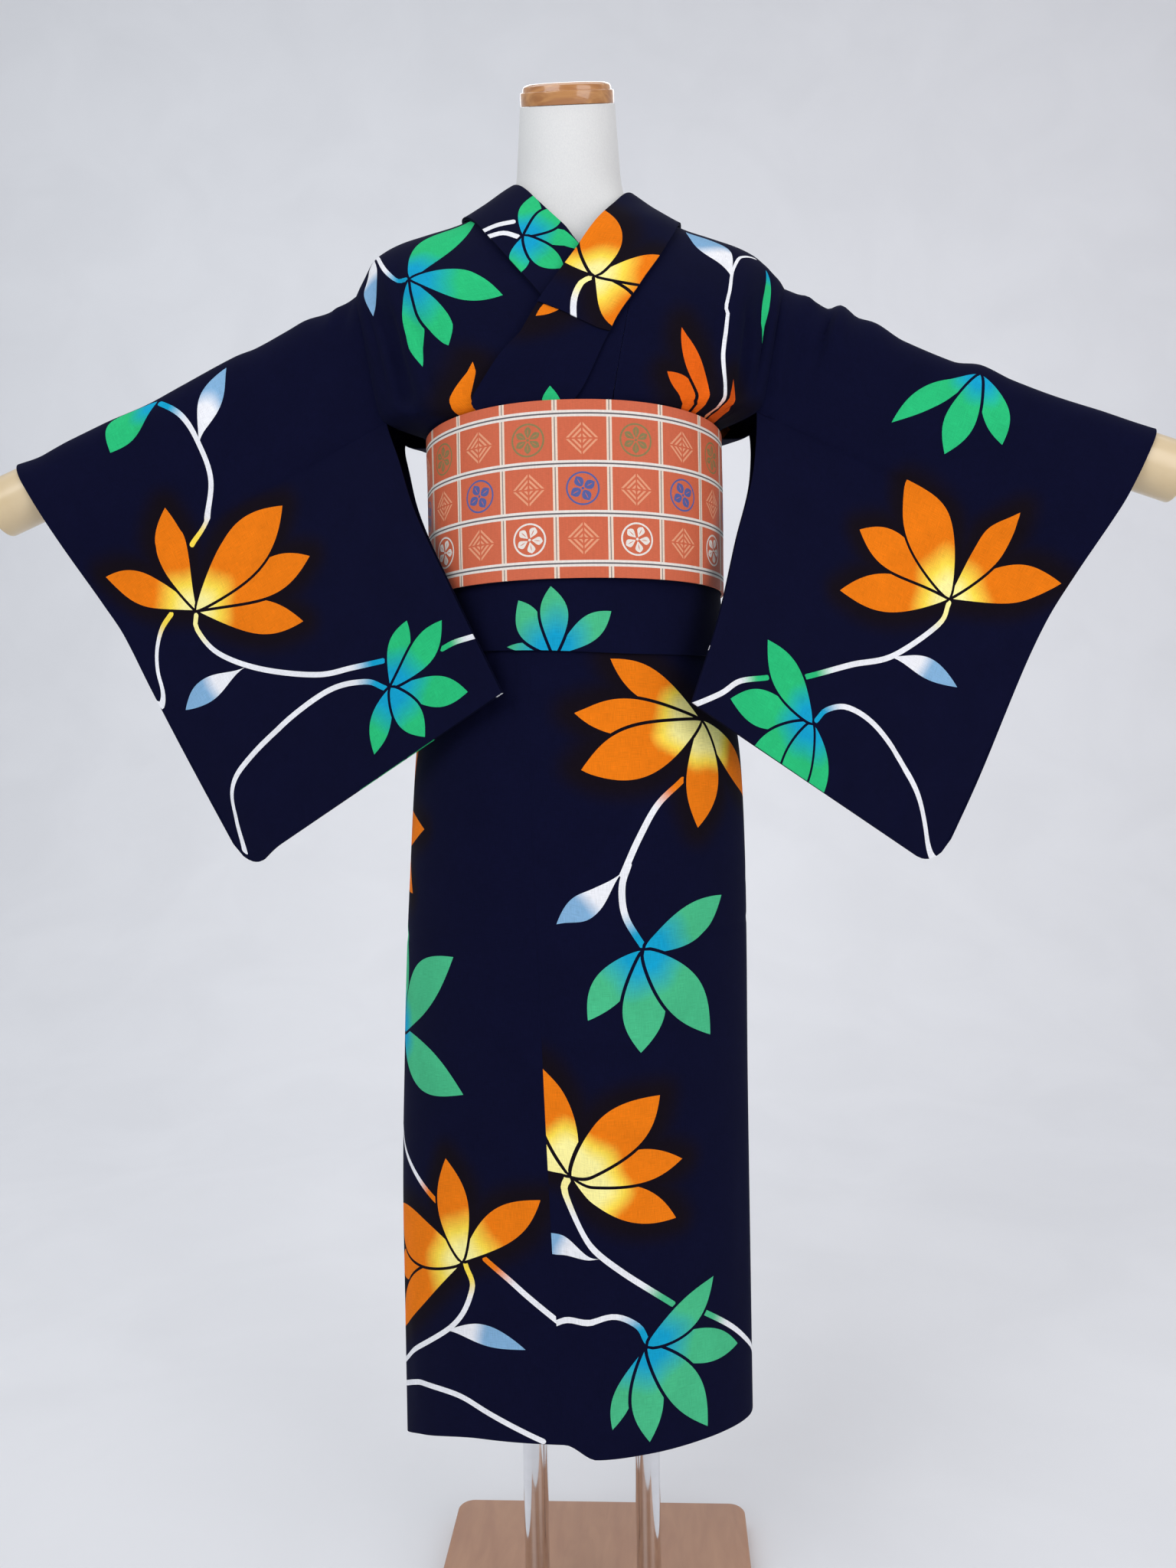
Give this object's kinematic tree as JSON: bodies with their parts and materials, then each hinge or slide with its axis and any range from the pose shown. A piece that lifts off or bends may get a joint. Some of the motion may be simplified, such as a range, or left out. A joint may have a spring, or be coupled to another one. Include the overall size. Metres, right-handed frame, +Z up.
{
  "type": "cotton yukata robe with sash on a limbless dress form stand",
  "caption": "Cotton summer robe with wide square sleeves, worn left over right with a broad woven sash, on a limbless dress form with two posts and a flat base board.",
  "frame": {"origin": "underside of the base board, at its centre, on the floor", "axes": "+Z up, -Y the front of the robe, +X to the right as seen from the front"},
  "size_m": [1.2059, 0.364, 1.5725],
  "materials": {
    "body_left_upper": "printed plain-weave cotton",
    "body_right_upper": "printed plain-weave cotton",
    "okumi_right_upper": "printed plain-weave cotton",
    "collar": "printed plain-weave cotton, folded double",
    "over_collar": "printed plain-weave cotton, folded double",
    "sleeve_left": "printed plain-weave cotton",
    "sleeve_right": "printed plain-weave cotton",
    "waist_tuck_front": "printed plain-weave cotton, folded double",
    "waist_tuck_back": "printed plain-weave cotton, folded double",
    "body_right_skirt_front": "printed plain-weave cotton",
    "okumi_right_skirt": "printed plain-weave cotton",
    "body_left_skirt_front": "printed plain-weave cotton",
    "okumi_left_skirt": "printed plain-weave cotton",
    "body_left_skirt_back": "printed plain-weave cotton",
    "body_right_skirt_back": "printed plain-weave cotton",
    "sash": "woven half-width sash, ribbed",
    "dress_form_torso": "smooth jersey over a moulded form",
    "neck_cap": "lacquered",
    "arm_bar_left": "smooth",
    "arm_bar_right": "smooth",
    "post_left": "polished",
    "post_right": "polished",
    "base_board": "lacquered"
  },
  "bodies": {
    "root": {"body_left_upper": "body_left_upper", "body_right_upper": "body_right_upper", "okumi_right_upper": "okumi_right_upper", "collar": "collar", "over_collar": "over_collar", "sleeve_left": "sleeve_left", "sleeve_right": "sleeve_right", "waist_tuck_front": "waist_tuck_front", "waist_tuck_back": "waist_tuck_back", "body_right_skirt_front": "body_right_skirt_front", "okumi_right_skirt": "okumi_right_skirt", "body_left_skirt_front": "body_left_skirt_front", "okumi_left_skirt": "okumi_left_skirt", "body_left_skirt_back": "body_left_skirt_back", "body_right_skirt_back": "body_right_skirt_back", "sash": "sash", "dress_form_torso": "dress_form_torso", "neck_cap": "neck_cap", "arm_bar_left": "arm_bar_left", "arm_bar_right": "arm_bar_right", "post_left": "post_left", "post_right": "post_right", "base_board": "base_board"}
  },
  "joints": []
}
